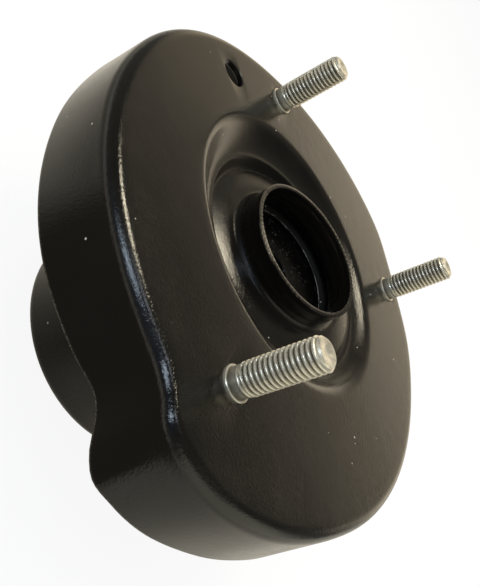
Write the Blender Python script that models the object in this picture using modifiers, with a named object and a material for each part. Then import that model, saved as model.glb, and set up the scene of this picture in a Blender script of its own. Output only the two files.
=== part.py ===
"""Strut mount: a deep drawn steel body with a tilted bore collar, three pressed-in studs, and a
lower cup that holds a rubber isolator with the rod seat bonded into it.

Metres, +Z up. The body is drawn about the axis of the stud circle with its mounting face at
height zero, and the whole mount is then set down on the bottom of the lower cup.
"""
import math
import bpy
from mathutils import Matrix, Vector

# Radii from the bore outward: collar, tilted floor, ledge, recess, cup, stud circle, body.
COLLAR_RADIUS = 0.0204
FLOOR_FLAT_WIDTH = 0.0028
FLOOR_FLAT_RADIUS = COLLAR_RADIUS + FLOOR_FLAT_WIDTH
FLOOR_WIDTH = 0.0092
FLOOR_RADIUS = COLLAR_RADIUS + FLOOR_WIDTH
LEDGE_WIDTH = 0.0036
LEDGE_RADIUS = FLOOR_RADIUS + LEDGE_WIDTH
RECESS_WIDTH = 0.0088
RECESS_RADIUS = LEDGE_RADIUS + RECESS_WIDTH
CUP_MOUTH_ROOM = 0.0068
CUP_MOUTH_RADIUS = RECESS_RADIUS + CUP_MOUTH_ROOM
CUP_MOUTH_BEND = 0.0022
CUP_FLANGE_WIDTH = 0.0022
CUP_FLANGE_RADIUS = CUP_MOUTH_RADIUS + CUP_MOUTH_BEND + CUP_FLANGE_WIDTH
STUD_HEAD_RADIUS = 0.0062
STUD_HEAD_ROOM = 0.0006
STUD_CIRCLE_RADIUS = CUP_FLANGE_RADIUS + STUD_HEAD_ROOM + STUD_HEAD_RADIUS
STUD_EDGE_DISTANCE = 0.0120
BODY_RADIUS = STUD_CIRCLE_RADIUS + STUD_EDGE_DISTANCE

# Studs, pressed into the mounting face from below.
STUD_BEARINGS = (-51.1, -127.2, 90.0)
STUD_RADIUS = 0.0040
STUD_LENGTH = 0.0226
STUD_CHAMFER = 0.0009
STUD_BAND_RADIUS = 0.00435
STUD_BAND_HEIGHT = 0.0006
STUD_NECK_RADIUS = 0.0035
STUD_NECK_LENGTH = 0.0018
STUD_HEAD_HEIGHT = 0.0026

# Body: one sheet, from the free edge of the skirt over the mounting face to the collar's rim.
SHEET = 0.0020
SKIRT_DEPTH = 0.0197
SHOULDER_RADIUS = 0.0037
EDGE_ROUND = 0.0007
LOBE_ROUND_START = 72
LOBE_ROUND_END = 98

# How far the outline lies outside the body radius, by bearing in degrees.
OUTLINE = (
    (-175, -0.0034), (-160, -0.0026), (-143, -0.0005), (-127, 0.0000), (-118, 0.0019),
    (-108, 0.0045), (-96, 0.0041), (-75, 0.0018), (-50, -0.0005), (-20, -0.0006),
    (8, -0.0001), (30, 0.0018), (50, 0.0034), (68, 0.0043), (77, 0.0053),
    (81, 0.0078), (84.5, 0.0117), (90, 0.0135), (98, 0.0134), (108, 0.0102),
    (120, 0.0055), (133, 0.0014), (150, -0.0015), (168, -0.0031),
)
# How far the skirt's free edge stands out from its shoulder, by bearing.
FLARE = (
    (-100, 0.0), (-60, 0.0002), (-38, 0.0013), (-16, 0.0022), (8, 0.0003), (28, 0.0005),
    (56, 0.0022), (72, 0.0009), (76, -0.0003), (79.5, -0.0011), (82, 0.0001), (84.5, 0.0025),
    (87, 0.0041), (91, 0.0032), (104, 0.0010), (128, 0.0007), (150, 0.0),
)

# Recess round the bore, parallel to the mounting face.
RECESS_CENTRE = (0.0036, -0.0008)
RECESS_EDGE_RADIUS = 0.0032
RECESS_WALL_ANGLE = 45
RECESS_DEPTH = 0.0055

# Tilted seat inside the recess, with the collar drawn up from its floor.
TILT = 6.9
TILT_BEARING = 24.5
TILT_CENTRE = (0.0024, -0.0001)
FLOOR_DROP = 0.00425
FLOOR_CROWN = 0.0012
COLLAR_FILLET = 0.0012
COLLAR_STEP = 0.0004
COLLAR_STEP_HEIGHT = 0.0030
COLLAR_HEIGHT = 0.0077
RIM_HEIGHT = 0.0016

# Drain hole in the mounting face.
DRAIN_RADIUS = 0.0042
DRAIN_BEARING = -24.4
DRAIN_EDGE_DISTANCE = 0.0138

# Lower cup, drawn straight and welded under the mounting face by its flange.
CUP_SHEET = 0.0020
CUP_DEPTH = 0.0743
CUP_MOUTH_TAPER = 0.0096
CUP_THROAT_RADIUS = CUP_MOUTH_RADIUS - CUP_MOUTH_TAPER
CUP_THROAT_DEPTH = 0.0220
CUP_WALL_TAPER = 0.0029
CUP_BASE_RADIUS = CUP_THROAT_RADIUS - CUP_WALL_TAPER
CUP_CORNER_RADIUS = 0.0045
CUP_BASE_WIDTH = 0.0153
CUP_HOLE_RADIUS = CUP_BASE_RADIUS - CUP_BASE_WIDTH

# Rod seat and the rubber round it, on the tilted axis.
SEAT_INSET = 0.0006
SEAT_RADIUS = COLLAR_RADIUS - SEAT_INSET
SEAT_DROP = 0.0100
SEAT_THICKNESS = 0.0030
SEAT_CHAMFER = 0.0006
ROD_HOLE_RADIUS = 0.0063
HUB_WALL = 0.0057
HUB_RADIUS = ROD_HOLE_RADIUS + HUB_WALL
HUB_LENGTH = 0.0400
ISOLATOR_SHOULDER = 0.0110
ISOLATOR_BASE = 0.0520
ISOLATOR_DISH = 0.0050
ISOLATOR_LIP = 0.0018

# Clearance between touching pieces.
GAP = 0.0003
# How close points lie that a turned piece joins into one.
MERGE = 0.00001

BEARING_STEP = 5.5
FINE_STEP = 1.7
ROUND_SEGMENTS = 40
STUD_SEGMENTS = 24


def clear_scene():
    """Empties the file of objects and of the data left without a user."""
    for item in list(bpy.data.objects):
        bpy.data.objects.remove(item, do_unlink=True)
    for store in (bpy.data.meshes, bpy.data.materials, bpy.data.collections):
        for item in list(store):
            store.remove(item)


def new_collection(name):
    """Adds a collection to the scene."""
    made = bpy.data.collections.new(name)
    bpy.context.scene.collection.children.link(made)
    return made


def finish(name, colour, metallic, roughness):
    """A plain Principled BSDF material."""
    made = bpy.data.materials.new(name)
    made.use_nodes = True
    shader = made.node_tree.nodes["Principled BSDF"]
    shader.inputs["Base Color"].default_value = (*colour, 1.0)
    shader.inputs["Metallic"].default_value = metallic
    shader.inputs["Roughness"].default_value = roughness
    made.diffuse_color = (*colour, 1.0)
    return made


def add_object(name, points, edges, faces, collection):
    """Makes a mesh object from points, edges and faces."""
    mesh = bpy.data.meshes.new(name)
    mesh.from_pydata([tuple(point) for point in points], edges, faces)
    mesh.shade_smooth()
    made = bpy.data.objects.new(name, mesh)
    collection.objects.link(made)
    return made


def table_value(table, bearing):
    """Smooth periodic interpolation of a table of (bearing in degrees, value)."""
    count = len(table)
    turn = (bearing - table[0][0]) % 360.0 + table[0][0]
    index = max(i for i in range(count) if table[i][0] <= turn)

    def knot(i):
        wrap, place = divmod(i, count)
        return table[place][0] + 360.0 * wrap, table[place][1]

    (t0, v0), (t1, v1), (t2, v2), (t3, v3) = (knot(index + k) for k in (-1, 0, 1, 2))
    span = t2 - t1
    slope_1 = (v2 - v0) / (t2 - t0)
    slope_2 = (v3 - v1) / (t3 - t1)
    s = (turn - t1) / span
    return (
        v1 * (2 * s**3 - 3 * s**2 + 1) + v2 * (3 * s**2 - 2 * s**3)
        + span * (slope_1 * (s**3 - 2 * s**2 + s) + slope_2 * (s**3 - s**2))
    )


def body_bearings():
    """Bearings of the body's sections, closer together round the lobe's concave corner."""
    coarse = round((360 - LOBE_ROUND_END + LOBE_ROUND_START) / BEARING_STEP)
    fine = round((LOBE_ROUND_END - LOBE_ROUND_START) / FINE_STEP)
    open_span = 360 - LOBE_ROUND_END + LOBE_ROUND_START
    return (
        [LOBE_ROUND_START + (LOBE_ROUND_END - LOBE_ROUND_START) * i / fine for i in range(fine)]
        + [LOBE_ROUND_END + open_span * i / coarse for i in range(coarse)]
    )


BEARINGS = body_bearings()


def outline(bearing):
    """Radius of the body at its shoulder."""
    return BODY_RADIUS + table_value(OUTLINE, bearing)


def tilted_frame():
    """The frame of the collar: its axis leans towards the tilt bearing."""
    lean = Matrix.Rotation(math.radians(TILT), 4, "Y")
    turn = Matrix.Rotation(math.radians(TILT_BEARING), 4, "Z")
    place = Matrix.Translation((*TILT_CENTRE, 0.0))
    return place @ turn @ lean @ turn.inverted()


TILTED = tilted_frame()


def flat_ring(radius, height, centre=(0.0, 0.0)):
    """One section ring parallel to the mounting face; radius is a number or a function of bearing."""
    ring = []
    for bearing in BEARINGS:
        reach = radius(bearing) if callable(radius) else radius
        angle = math.radians(bearing)
        ring.append(Vector((centre[0] + reach * math.cos(angle), centre[1] + reach * math.sin(angle), height)))
    return ring


def tilted_ring(radius, height):
    """One section ring square to the collar's axis."""
    return [TILTED @ point for point in flat_ring(radius, height)]


def blend(ring_a, ring_b, share):
    """The ring between two rings."""
    return [a.lerp(b, share) for a, b in zip(ring_a, ring_b)]


def skin(rings):
    """Points and faces of a loft through successive rings."""
    count = len(rings[0])
    faces = []
    for i in range(len(rings) - 1):
        lower, upper = i * count, (i + 1) * count
        for j in range(count):
            k = (j + 1) % count
            faces.append((lower + j, lower + k, upper + k, upper + j))
    return [point for ring in rings for point in ring], faces


def body_sections():
    """Section rings of the pressed sheet's outer side, from the skirt's free edge to the rim."""
    free_edge = flat_ring(lambda b: outline(b) + table_value(FLARE, b), -SKIRT_DEPTH)
    rings = [free_edge]
    for turn in (0.0, 22.5, 45.0, 67.5, 90.0):
        angle = math.radians(turn)
        inset = SHOULDER_RADIUS * (1 - math.cos(angle))
        rings.append(flat_ring(lambda b: outline(b) - inset, SHOULDER_RADIUS * (math.sin(angle) - 1)))

    for share in (0, 1 / 3, 2 / 3, 1):
        angle = math.radians(RECESS_WALL_ANGLE) * share
        radius = RECESS_RADIUS - RECESS_EDGE_RADIUS * math.sin(angle)
        height = RECESS_EDGE_RADIUS * (math.cos(angle) - 1)
        rings.append(flat_ring(radius, height, RECESS_CENTRE))

    # The wall sweeps from its slope into the flat ledge.
    wall = rings[-1]
    foot = flat_ring(radius - (RECESS_DEPTH + height) / math.tan(angle), -RECESS_DEPTH, RECESS_CENTRE)
    ledge = flat_ring(LEDGE_RADIUS, -RECESS_DEPTH, TILT_CENTRE)
    for share in (1 / 3, 2 / 3):
        rings.append(blend(blend(wall, foot, share), blend(foot, ledge, share), share))
    rings.append(ledge)

    # The step between ledge and tilted floor, down on one side of the mount and up on the other.
    for share in (1 / 3, 2 / 3):
        radius = LEDGE_RADIUS + (FLOOR_RADIUS - LEDGE_RADIUS) * share
        level = flat_ring(radius, -RECESS_DEPTH, TILT_CENTRE)
        edge = tilted_ring(radius, -FLOOR_DROP - FLOOR_CROWN)
        rings.append(blend(level, edge, share * share * (3 - 2 * share)))

    # The floor falls off a little from its flat part to its edge.
    for share in (0, 1 / 2, 1):
        radius = FLOOR_RADIUS + (FLOOR_FLAT_RADIUS - FLOOR_RADIUS) * share
        rings.append(tilted_ring(radius, -FLOOR_DROP - FLOOR_CROWN * (1 - share) ** 1.35))

    for turn in (0.0, 30.0, 60.0, 90.0):
        angle = math.radians(turn)
        radius = COLLAR_RADIUS + COLLAR_FILLET * (1 - math.sin(angle))
        rings.append(tilted_ring(radius, -FLOOR_DROP + COLLAR_FILLET * (1 - math.cos(angle))))
    step = -FLOOR_DROP + COLLAR_STEP_HEIGHT
    top = -FLOOR_DROP + COLLAR_HEIGHT
    rings.append(tilted_ring(COLLAR_RADIUS, step))
    rings.append(tilted_ring(COLLAR_RADIUS - COLLAR_STEP, step + COLLAR_STEP))
    rings.append(tilted_ring(COLLAR_RADIUS - COLLAR_STEP, top - RIM_HEIGHT - COLLAR_STEP))
    rings.append(tilted_ring(COLLAR_RADIUS, top - RIM_HEIGHT))
    rings.append(tilted_ring(COLLAR_RADIUS, top))
    return rings


def turned(name, profile, segments, collection, frame=Matrix.Identity(4)):
    """A turned piece: its profile of (radius, height) runs down its outer side first."""
    points = [(radius, 0.0, height) for radius, height in profile]
    edges = [(i, i + 1) for i in range(len(points) - 1)]
    if profile[0][0] > 0:
        edges.append((len(points) - 1, 0))
    made = add_object(name, points, edges, [], collection)
    made.matrix_basis = frame
    screw = made.modifiers.new("turn", "SCREW")
    screw.steps = segments
    screw.render_steps = segments
    screw.use_merge_vertices = True
    screw.merge_threshold = MERGE
    return made


def cut(target, cutter):
    """Takes the cutter's volume out of the target."""
    modifier = target.modifiers.new("cut_" + cutter.name, "BOOLEAN")
    modifier.operation = "DIFFERENCE"
    modifier.solver = "EXACT"
    modifier.object = cutter
    cutter.hide_render = True
    cutter.display_type = "WIRE"


def polar(radius, bearing):
    """A place on the mounting face."""
    angle = math.radians(bearing)
    return Matrix.Translation((radius * math.cos(angle), radius * math.sin(angle), 0.0))


def build_body(parts, cutters):
    """The pressed body: skirt, shoulder, mounting face, recess, tilted floor and collar."""
    points, faces = skin(body_sections())
    body = add_object("upper_shell", points, [], faces, parts)
    sheet = body.modifiers.new("sheet", "SOLIDIFY")
    sheet.thickness = SHEET
    sheet.offset = -1.0
    sheet.use_even_offset = True
    edges = body.modifiers.new("free_edges", "BEVEL")
    edges.width = EDGE_ROUND
    edges.segments = 2
    edges.limit_method = "ANGLE"
    edges.angle_limit = math.radians(75)

    reach = 2 * SHEET
    holes = [
        (f"stud_hole_{index}", STUD_BAND_RADIUS + GAP, polar(STUD_CIRCLE_RADIUS, bearing))
        for index, bearing in enumerate(STUD_BEARINGS, 1)
    ]
    holes.append(("drain_hole", DRAIN_RADIUS, polar(BODY_RADIUS - DRAIN_EDGE_DISTANCE, DRAIN_BEARING)))
    for name, radius, place in holes:
        drill = [(0, reach), (radius, reach), (radius, -reach), (0, -reach)]
        cut(body, turned(name, drill, STUD_SEGMENTS, cutters, place))
    return body


def build_stud(index, bearing, parts):
    """One stud: head under the sheet, plain band in its hole, neck, shank and chamfered tip."""
    head_top = -SHEET - GAP
    neck_top = STUD_BAND_HEIGHT + STUD_NECK_LENGTH
    profile = [
        (0, STUD_LENGTH),
        (STUD_RADIUS - STUD_CHAMFER, STUD_LENGTH),
        (STUD_RADIUS, STUD_LENGTH - STUD_CHAMFER),
        (STUD_RADIUS, neck_top + STUD_RADIUS - STUD_NECK_RADIUS),
        (STUD_NECK_RADIUS, neck_top),
        (STUD_NECK_RADIUS, STUD_BAND_HEIGHT),
        (STUD_BAND_RADIUS, STUD_BAND_HEIGHT),
        (STUD_BAND_RADIUS, head_top),
        (STUD_HEAD_RADIUS, head_top),
        (STUD_HEAD_RADIUS, head_top - STUD_HEAD_HEIGHT),
        (0, head_top - STUD_HEAD_HEIGHT),
    ]
    return turned(f"stud_{index}", profile, STUD_SEGMENTS, parts, polar(STUD_CIRCLE_RADIUS, bearing))


def arc(centre_radius, centre_height, radius, start, end, steps):
    """Points of an arc in the profile plane, angles in degrees from the outward direction."""
    points = []
    for i in range(steps + 1):
        angle = math.radians(start + (end - start) * i / steps)
        points.append((centre_radius + radius * math.cos(angle), centre_height + radius * math.sin(angle)))
    return points


def cup_wall(depth):
    """Outer radius of the cup's wall at a depth under the mounting face."""
    corner = CUP_DEPTH - CUP_CORNER_RADIUS
    if depth < CUP_THROAT_DEPTH:
        mouth = SHEET + GAP + CUP_SHEET + CUP_MOUTH_BEND
        share = (depth - mouth) / (CUP_THROAT_DEPTH - mouth)
        return CUP_MOUTH_RADIUS + (CUP_THROAT_RADIUS - CUP_MOUTH_RADIUS) * share
    share = (depth - CUP_THROAT_DEPTH) / (corner - CUP_THROAT_DEPTH)
    return CUP_THROAT_RADIUS + (CUP_BASE_RADIUS - CUP_THROAT_RADIUS) * share


def build_cup(parts):
    """The lower cup: flange, bend, conical mouth, tapered wall, round corner and holed base."""
    flange_top = -SHEET - GAP
    flange_under = flange_top - CUP_SHEET
    corner_height = CUP_CORNER_RADIUS - CUP_DEPTH
    corner_radius = CUP_BASE_RADIUS - CUP_CORNER_RADIUS
    inner_corner = CUP_CORNER_RADIUS - CUP_SHEET
    bend_radius = CUP_MOUTH_RADIUS + CUP_MOUTH_BEND
    bend_height = flange_under - CUP_MOUTH_BEND
    outer = [(CUP_FLANGE_RADIUS, flange_top), (CUP_FLANGE_RADIUS, flange_under)]
    outer += arc(bend_radius, bend_height, CUP_MOUTH_BEND, 90, 180, 3)
    outer += [(CUP_THROAT_RADIUS, -CUP_THROAT_DEPTH)]
    outer += arc(corner_radius, corner_height, CUP_CORNER_RADIUS, 0, -90, 4)
    outer += [(CUP_HOLE_RADIUS, -CUP_DEPTH), (CUP_HOLE_RADIUS, CUP_SHEET - CUP_DEPTH)]
    inner = arc(corner_radius, corner_height, inner_corner, -90, 0, 3)
    inner += [(CUP_THROAT_RADIUS - CUP_SHEET, -CUP_THROAT_DEPTH)]
    inner += arc(bend_radius, bend_height, CUP_MOUTH_BEND + CUP_SHEET, 180, 90, 3)
    return turned("lower_cup", outer + inner, ROUND_SEGMENTS, parts)


def build_isolator(parts, cutters):
    """The rubber isolator: fills the cup round the rod seat and bears up under the body's floor."""
    inside = CUP_SHEET + GAP
    seat_under = SEAT_DROP + SEAT_THICKNESS
    foot = ISOLATOR_BASE - ISOLATOR_DISH
    crown_radius = FLOOR_RADIUS - SHEET - GAP - math.hypot(*TILT_CENTRE)
    profile = [
        (0, 0.0),
        (crown_radius, 0.0),
        (crown_radius, -ISOLATOR_SHOULDER),
        (cup_wall(ISOLATOR_SHOULDER + ISOLATOR_LIP) - inside, -ISOLATOR_SHOULDER - ISOLATOR_LIP),
        (CUP_THROAT_RADIUS - inside, -CUP_THROAT_DEPTH),
        (cup_wall(ISOLATOR_BASE - ISOLATOR_LIP) - inside, -ISOLATOR_BASE + ISOLATOR_LIP),
        (cup_wall(ISOLATOR_BASE) - inside - ISOLATOR_LIP, -ISOLATOR_BASE),
        (crown_radius, -ISOLATOR_BASE),
        (HUB_RADIUS + ISOLATOR_DISH, -foot),
        (0, -foot),
    ]
    rubber = turned("rubber_isolator", profile, ROUND_SEGMENTS, parts)
    crown = -FLOOR_DROP - FLOOR_CROWN - SHEET - GAP
    reach = BODY_RADIUS
    seat_top = [
        (0, reach),
        (reach, reach),
        (reach, crown),
        (SEAT_RADIUS + GAP + ISOLATOR_LIP, crown),
        (SEAT_RADIUS + GAP, crown - ISOLATOR_LIP),
        (SEAT_RADIUS + GAP, -seat_under - GAP),
        (HUB_RADIUS + GAP, -seat_under - GAP),
        (HUB_RADIUS + GAP, -CUP_DEPTH),
        (0, -CUP_DEPTH),
    ]
    cut(rubber, turned("isolator_cut", seat_top, ROUND_SEGMENTS, cutters, TILTED))
    return rubber


def build_seat(parts):
    """The rod seat: a flanged tube on the tilted axis, open for the damper rod."""
    seat_under = SEAT_DROP + SEAT_THICKNESS
    foot = seat_under + HUB_LENGTH
    profile = [
        (SEAT_RADIUS - SEAT_CHAMFER, -SEAT_DROP),
        (SEAT_RADIUS, -SEAT_DROP - SEAT_CHAMFER),
        (SEAT_RADIUS, -seat_under),
        (HUB_RADIUS, -seat_under),
        (HUB_RADIUS, -foot + SEAT_CHAMFER),
        (HUB_RADIUS - SEAT_CHAMFER, -foot),
        (ROD_HOLE_RADIUS, -foot),
        (ROD_HOLE_RADIUS, -SEAT_DROP - SEAT_CHAMFER),
        (ROD_HOLE_RADIUS + SEAT_CHAMFER, -SEAT_DROP),
    ]
    return turned("rod_seat", profile, ROUND_SEGMENTS, parts, TILTED)


def set_down(objects):
    """Stands the mount on the cup's base with the middle of its outline over the origin."""
    edge = flat_ring(lambda b: outline(b) + table_value(FLARE, b), 0.0)
    middle = [(min(p[axis] for p in edge) + max(p[axis] for p in edge)) / 2 for axis in (0, 1)]
    for item in objects:
        item.location += Vector((-middle[0], -middle[1], CUP_DEPTH))


def main():
    """Builds every piece."""
    clear_scene()
    parts = new_collection("strut_mount")
    cutters = new_collection("cutters")
    paint = (0.018, 0.018, 0.018)
    finishes = {
        build_body(parts, cutters): finish("shell_paint", paint, 0.0, 0.22),
        build_cup(parts): finish("cup_paint", paint, 0.0, 0.28),
        build_isolator(parts, cutters): finish("isolator_rubber", (0.012, 0.012, 0.012), 0.0, 0.8),
        build_seat(parts): finish("seat_steel", (0.05, 0.05, 0.05), 0.6, 0.4),
    }
    for index, bearing in enumerate(STUD_BEARINGS, 1):
        stud = build_stud(index, bearing, parts)
        finishes[stud] = finish(f"stud_{index}_zinc", (0.62, 0.60, 0.52), 1.0, 0.3)
    for item, surface in finishes.items():
        item.data.materials.append(surface)
    set_down([*parts.objects, *cutters.objects])


main()
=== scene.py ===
"""Looks of the strut mount: coated pressings, zinc plated studs, rubber and the seat in the collar."""
import math

import bmesh
import bpy
from mathutils import Matrix, Vector


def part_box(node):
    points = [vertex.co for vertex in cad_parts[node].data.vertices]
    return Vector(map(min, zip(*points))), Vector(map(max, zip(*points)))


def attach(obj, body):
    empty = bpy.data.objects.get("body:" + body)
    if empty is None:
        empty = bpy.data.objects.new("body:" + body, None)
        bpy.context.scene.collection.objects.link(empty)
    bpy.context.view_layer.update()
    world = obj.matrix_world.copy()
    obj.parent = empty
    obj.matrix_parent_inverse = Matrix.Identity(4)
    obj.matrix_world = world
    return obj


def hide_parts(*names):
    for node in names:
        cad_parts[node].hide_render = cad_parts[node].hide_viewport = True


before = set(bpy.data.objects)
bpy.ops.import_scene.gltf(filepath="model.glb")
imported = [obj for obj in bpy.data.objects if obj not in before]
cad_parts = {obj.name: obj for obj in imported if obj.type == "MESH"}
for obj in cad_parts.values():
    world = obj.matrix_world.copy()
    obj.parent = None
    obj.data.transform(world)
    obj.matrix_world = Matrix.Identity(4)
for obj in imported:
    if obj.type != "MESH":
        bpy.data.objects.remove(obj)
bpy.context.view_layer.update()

bl_info = {
    "name": "Strut Mount",
    "version": (1, 0, 0),
    "blender": (4, 5, 0),
    "location": "View3D > Sidebar > Strut Mount",
    "description": "Builds the pressings, studs, rubber and rod seat of a strut mount, and its studio",
    "category": "Object",
}

BODY = "root"

# Sizes of the mount, in metres, with the mounting face at height zero on the stud circle's axis.
SHEET = 0.0020
GAP = 0.0003
BODY_RADIUS = 0.0720
SKIRT_DEPTH = 0.0197
SHOULDER_RADIUS = 0.0037
OUTLINE = (
    (-175, -0.0034), (-160, -0.0026), (-143, -0.0005), (-127, 0.0000), (-118, 0.0019),
    (-108, 0.0045), (-96, 0.0041), (-75, 0.0018), (-50, -0.0005), (-20, -0.0006),
    (8, -0.0001), (30, 0.0018), (50, 0.0034), (68, 0.0043), (77, 0.0053),
    (81, 0.0078), (84.5, 0.0117), (90, 0.0135), (98, 0.0134), (108, 0.0102),
    (120, 0.0055), (133, 0.0014), (150, -0.0015), (168, -0.0031),
)
FLARE = (
    (-100, 0.0), (-60, 0.0002), (-38, 0.0013), (-16, 0.0022), (8, 0.0003), (28, 0.0005),
    (56, 0.0022), (72, 0.0009), (76, -0.0003), (79.5, -0.0011), (82, 0.0001), (84.5, 0.0025),
    (87, 0.0041), (91, 0.0032), (104, 0.0010), (128, 0.0007), (150, 0.0),
)
RECESS_CENTRE = (0.0036, -0.0008)
RECESS_RADIUS = 0.0423
RECESS_EDGE_RADIUS = 0.0044
RECESS_DEPTH = 0.0055
RECESS_EASY_RADIUS = 0.0080
RECESS_BEND_LIMIT = 0.85
LEDGE_LIFT = 0.0029
LEDGE_BEND = 0.0026
LEDGE_EASY_BEND = 0.0015
TILT = 6.9
TILT_BEARING = 24.5
TILT_CENTRE = (0.0024, -0.0001)
LEDGE_RADIUS = 0.0332
FLOOR_RADIUS = 0.0296
FLOOR_DROP = 0.00425
FLOOR_CROWN = 0.0012
FLOOR_FLAT_RADIUS = 0.0232
FLOOR_CROWN_POWER = 1.35
STEP_START = 0.22
STEP_SPAN = 0.70
STEP_ROUNDING = 0.24
COLLAR_RADIUS = 0.0204
COLLAR_FILLET = 0.0020
COLLAR_STEP = 0.00014
COLLAR_STEP_LENGTH = 0.0012
COLLAR_STEP_HEIGHT = 0.0030
COLLAR_HEIGHT = 0.0077
RIM_HEIGHT = 0.0032
RIM_BEAD = 0.00010
RIM_SHEET = 0.0013
RIM_ROUND = 0.0003
DRAIN_RADIUS = 0.0042
DRAIN_BEARING = -24.4
DRAIN_CIRCLE_RADIUS = 0.0582
HOLE_ROUND = 0.0003
STUD_CIRCLE_RADIUS = 0.0600
STUD_BEARINGS = (-51.1, -127.2, 90.0)
STUD_RADIUS = 0.0040
STUD_LENGTH = 0.0226
STUD_CHAMFER = 0.0009
STUD_BAND_RADIUS = 0.00435
STUD_BAND_HEIGHT = 0.0006
STUD_SNUG = 0.00003
STUD_NECK_RADIUS = 0.0037
STUD_NECK_LENGTH = 0.0018
STUD_HEAD_RADIUS = 0.0062
STUD_HEAD_HEIGHT = 0.0026
STUD_TIP_RING = 0.55
STUD_DIMPLE = 0.35
THREAD_STEEPNESS = 1.9
THREAD_CREST = 0.6
THREAD_ROUNDING = 0.35
THREAD_RUN_OUT = 1.2
CUP_SHEET = 0.0020
CUP_FLANGE_RADIUS = 0.0532
CUP_MOUTH_RADIUS = 0.0488
CUP_MOUTH_BEND = 0.0022
CUP_THROAT_RADIUS = 0.0392
CUP_THROAT_DEPTH = 0.0220
CUP_BASE_RADIUS = 0.0363
CUP_CORNER_RADIUS = 0.0045
CUP_HOLE_RADIUS = 0.0210
SEAT_RADIUS = 0.0198
SEAT_DROP = 0.0100
SEAT_THICKNESS = 0.0030
SEAT_CHAMFER = 0.0006
SEAT_LIP_WIDTH = 0.0006
SEAT_LIP_HEIGHT = 0.0016
HUB_RADIUS = 0.0120
HUB_LENGTH = 0.0400
ROD_HOLE_RADIUS = 0.0063
ISOLATOR_SHOULDER = 0.0110
ISOLATOR_BASE = 0.0520
ISOLATOR_DISH = 0.0050
ISOLATOR_LIP = 0.0018

# The mounting face's height and the stud circle's centre in the frame, read from the packed nodes.
LOW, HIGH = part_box("lower_cup")
CUP_DEPTH = HIGH.z - LOW.z + SHEET + GAP
STUD_LOW, STUD_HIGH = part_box("stud_3")
DATUM = Vector((
    (STUD_LOW.x + STUD_HIGH.x) / 2,
    (STUD_LOW.y + STUD_HIGH.y) / 2 - STUD_CIRCLE_RADIUS,
    LOW.z + CUP_DEPTH,
))

# The stretch of the collar's rim that gets a painted highlight, and the rubbed line along the skirt's free
# edge.
RIM_HIGHLIGHT_PLACE = Vector((0.0137, 0.0158, 0.0015))
RIM_HIGHLIGHT_REACH = 0.0066
RIM_HIGHLIGHT_HEIGHT = 0.0003
EDGE_LINE = 0.0006
EDGE_LINE_RUB = 0.5

# Painted shade: on the step from ledge to floor, and round the collar's root up to a share of it.
STEP_SHADE_POWER = 0.7
ROOT_SHADE = 0.8
ROOT_TOP = 0.2

# The skirt's inside, which gets painted shade and a duller coat: below this height in the packed frame, this
# far out.
SHELTER_TOP = DATUM.z - 0.002
SHELTER_RADIUS = 0.056
SHELTER_FADE = 0.002
SHELTER_FACING = 0.02

# Fineness of the meshes.
SHELL_SECTIONS = 360
SKIRT_RINGS = 8
SHOULDER_RINGS = 12
PLATE_SHARES = (0.08, 0.5, 0.92)
RECESS_EDGE_RINGS = 10
LEDGE_RINGS = 12
STEP_RINGS = 28
FLOOR_RINGS = 8
COLLAR_RINGS = 6
RIM_RINGS = 12
RIM_ROUND_SEGMENTS = 3
TURNED_STEPS = 160
THREAD_COLUMNS = 72
THREAD_ROWS = 10
MERGE = 0.000004
SHARP = math.radians(38)
FREE_EDGE_ANGLE = math.radians(75)

# Colours laid over the base colours of the finishes.
# Painted shade laid into the body's corners and over the skirt's inside.
CORNER_SHADE_COLOUR = (0.0030, 0.0026, 0.0022)
DIRT_COLOUR = (0.006, 0.005, 0.004)
WORN_COAT_COLOUR = (0.014, 0.012, 0.010)
# Colour of the rubbed free edge, and of the painted highlight on the rim.
RUB_AND_HIGHLIGHT_COLOUR = (0.115, 0.10, 0.075)
FLECK_COLOUR = (0.42, 0.39, 0.34)
PASSIVATION_COLOUR = (0.66, 0.62, 0.49)
ZINC_DUST_COLOUR = (0.46, 0.43, 0.36)
# Painted shade in the studs' thread roots and on their necks.
THREAD_SHADE_COLOUR = (0.09, 0.085, 0.066)
WORN_ZINC_COLOUR = (0.92, 0.91, 0.88)
BLOOM_COLOUR = (0.045, 0.042, 0.038)
RUBBER_FLECK_COLOUR = (0.30, 0.29, 0.26)
SEAT_DUST_COLOUR = (0.0026, 0.0024, 0.0021)
SEAT_FLECK_COLOUR = (0.22, 0.21, 0.19)
BARE_STEEL_COLOUR = (0.62, 0.60, 0.55)

# The studio, with bearings and heights in degrees and lengths in metres.
WHITE = (1.0, 1.0, 1.0)
DISC_SEGMENTS = 96
FLOOR_GLOW = 0.90
FLOOR_MIRRORED_COLOUR = (0.94, 0.87, 0.71)
MAT_RADIUS = 1.2
MAT_HEIGHT = 0.0004
MAT_COLOUR = (0.085, 0.070, 0.052)
MAT_SLANT = 0.35
# How dark the mat is across and along it, how much less beside the cup, and how dark it is aside.
MAT_ACROSS = (-0.11, 0.0, 0.0, 0.97)
MAT_ALONG = (-0.055, 0.045)
MAT_PALE_PLACE = (-0.010, 0.045, 0.0)
MAT_PALE = (0.034, 0.010, 0.0, 0.33)
MAT_ASIDE = (0.12, 0.22, 0.22, 0.68)
TENT_RADIUS = 2.6
TENT_COLUMNS = 64
TENT_ROWS = 32
TENT_COLOUR = (0.14, 0.135, 0.12)
TENT_TOP = (0.42, 0.70)
TENT_TOP_COLOUR = (0.070, 0.070, 0.062)
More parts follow.
